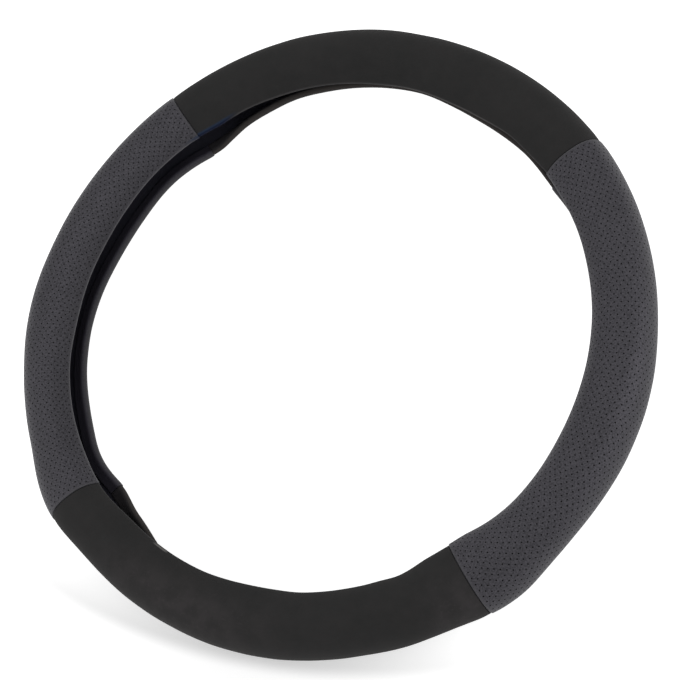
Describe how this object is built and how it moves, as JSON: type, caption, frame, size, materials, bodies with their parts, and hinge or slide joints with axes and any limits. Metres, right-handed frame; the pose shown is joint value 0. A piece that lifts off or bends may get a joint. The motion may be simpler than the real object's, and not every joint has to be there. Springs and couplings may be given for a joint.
{
  "type": "steering wheel cover",
  "caption": "Ring-shaped slip-on cover for a car steering wheel: leather sides with small holes, suede-like top and bottom, and a rubber lining that grips the rim.",
  "frame": {"origin": "on the ring's axis, in the plane that the cover lies on", "axes": "+Z along the ring's axis, from the back of the cover to the driver's side; +Y towards the top of the wheel; +X towards its right, as the driver sees it"},
  "size_m": [0.385, 0.384, 0.037],
  "materials": {
    "rubber": "matt, lightly textured",
    "leather": "satin, fine grain with small round holes",
    "suede": "short nap, matt"
  },
  "bodies": {
    "root": {"rubber_ring": "rubber", "right_leather_panel": "leather", "top_suede_panel": "suede", "left_leather_panel": "leather", "bottom_suede_panel": "suede"}
  },
  "joints": []
}
